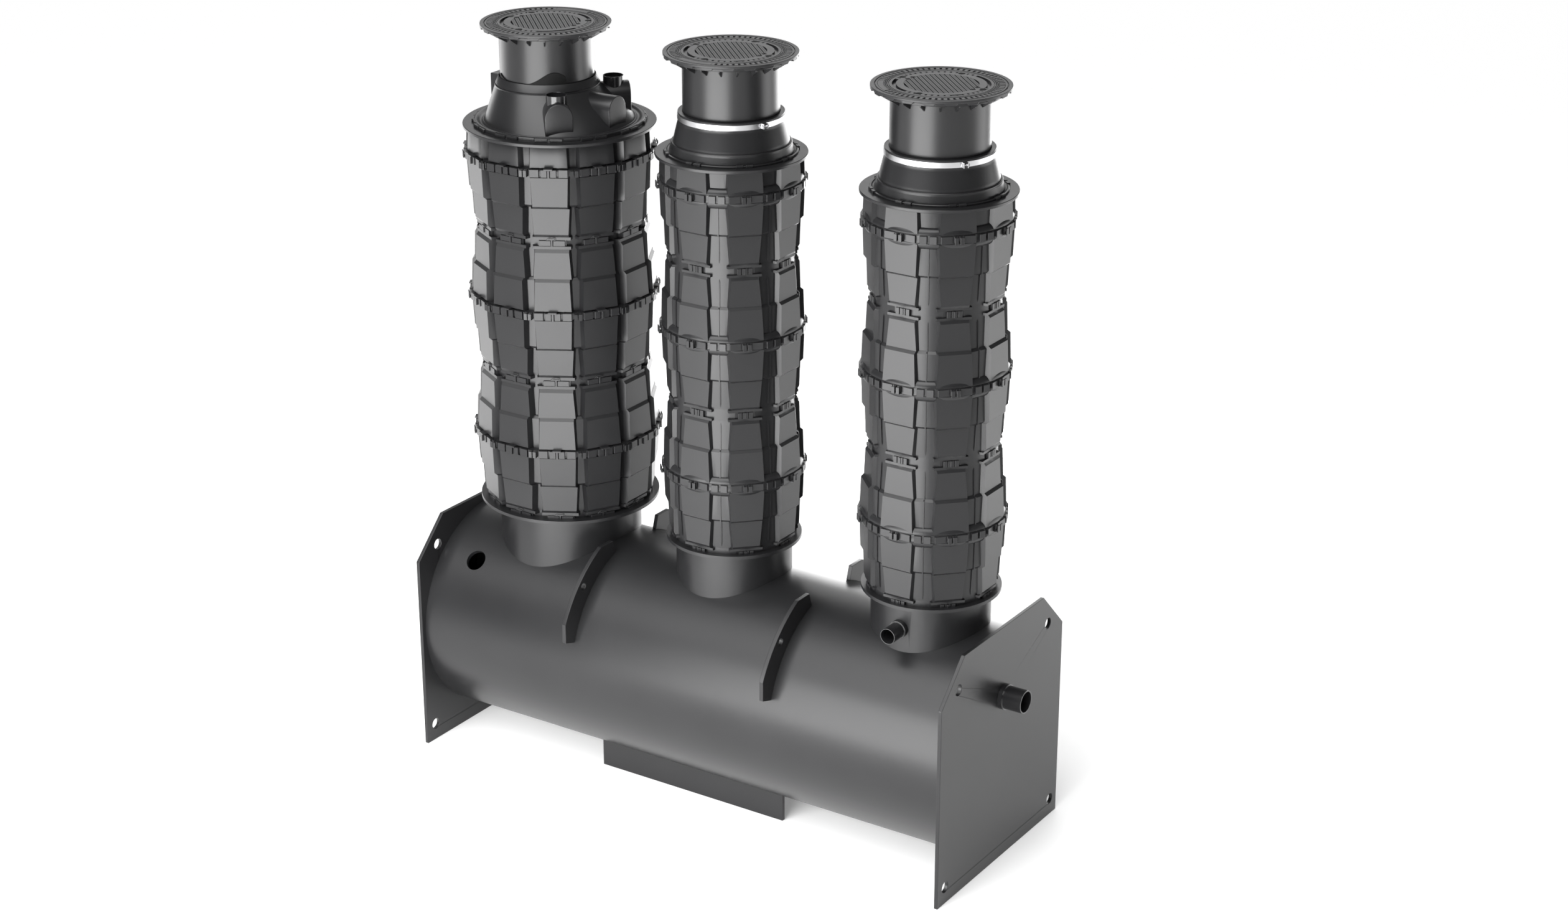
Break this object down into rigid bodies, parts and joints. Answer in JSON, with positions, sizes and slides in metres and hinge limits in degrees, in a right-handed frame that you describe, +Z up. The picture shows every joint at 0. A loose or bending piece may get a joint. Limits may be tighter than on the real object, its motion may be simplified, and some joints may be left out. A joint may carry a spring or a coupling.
{
  "type": "underground grease separator",
  "caption": "Horizontal underground grease separator tank on end plates, with stacked polygonal access risers, reducing cones, height-adjustable tubes and round covers.",
  "frame": {"origin": "on the ground under the middle of the tank", "axes": "+X along the tank towards the outlet, -Y towards the side with the sampling stub, +Z up"},
  "size_m": [4.662, 1.6796, 5.273],
  "materials": {
    "pe_black": "satin",
    "pipe_black": "satin",
    "rubber": "matte",
    "stainless": "brushed",
    "cast_iron": "painted, satin"
  },
  "bodies": {
    "separator": {"tank_shell": "pe_black", "end_plate_inlet": "pe_black", "end_plate_outlet": "pe_black", "neck_large": "pe_black", "neck_middle": "pe_black", "neck_right": "pe_black", "lifting_rib_front_inlet": "pe_black", "lifting_rib_back_inlet": "pe_black", "lifting_rib_front_outlet": "pe_black", "lifting_rib_back_outlet": "pe_black", "keel_front": "pe_black", "keel_back": "pe_black", "sludge_trap_wall": "pe_black", "sampling_wall": "pe_black", "inlet_baffle": "pe_black", "inlet_pipe": "pipe_black", "outlet_pipe": "pipe_black", "sampling_stub": "pipe_black", "dip_pipe": "pipe_black", "riser_ring_large_1": "pe_black", "riser_ring_large_2": "pe_black", "riser_ring_large_3": "pe_black", "riser_ring_large_4": "pe_black", "riser_ring_large_5": "pe_black", "riser_ring_large_6": "pe_black", "riser_ring_middle_1": "pe_black", "riser_ring_middle_2": "pe_black", "riser_ring_middle_3": "pe_black", "riser_ring_middle_4": "pe_black", "riser_ring_middle_5": "pe_black", "riser_ring_middle_6": "pe_black", "riser_ring_right_1": "pe_black", "riser_ring_right_2": "pe_black", "riser_ring_right_3": "pe_black", "riser_ring_right_4": "pe_black", "riser_ring_right_5": "pe_black", "riser_ring_right_6": "pe_black", "cone_large": "pe_black", "cone_middle": "pe_black", "cone_right": "pe_black", "sealing_sleeve": "rubber", "clamp_band_middle": "stainless", "clamp_band_right": "stainless", "clamp_bolts_middle": "stainless", "clamp_bolts_right": "stainless"},
    "upper_section_large": {"telescopic_tube_large": "pe_black", "cover_frame_large": "cast_iron", "lid_large": "cast_iron"},
    "upper_section_middle": {"telescopic_tube_middle": "pe_black", "cover_frame_middle": "cast_iron", "lid_middle": "cast_iron"},
    "upper_section_right": {"telescopic_tube_right": "pe_black", "cover_frame_right": "cast_iron", "lid_right": "cast_iron"}
  },
  "joints": [
    {"name": "height_large", "type": "slide", "parent": "separator", "child": "upper_section_large", "axis": [0, 0, 1], "range_m": [-0.15, 0.15]},
    {"name": "height_middle", "type": "slide", "parent": "separator", "child": "upper_section_middle", "axis": [0, 0, 1], "range_m": [-0.25, 0.2]},
    {"name": "height_right", "type": "slide", "parent": "separator", "child": "upper_section_right", "axis": [0, 0, 1], "range_m": [-0.25, 0.2]}
  ]
}
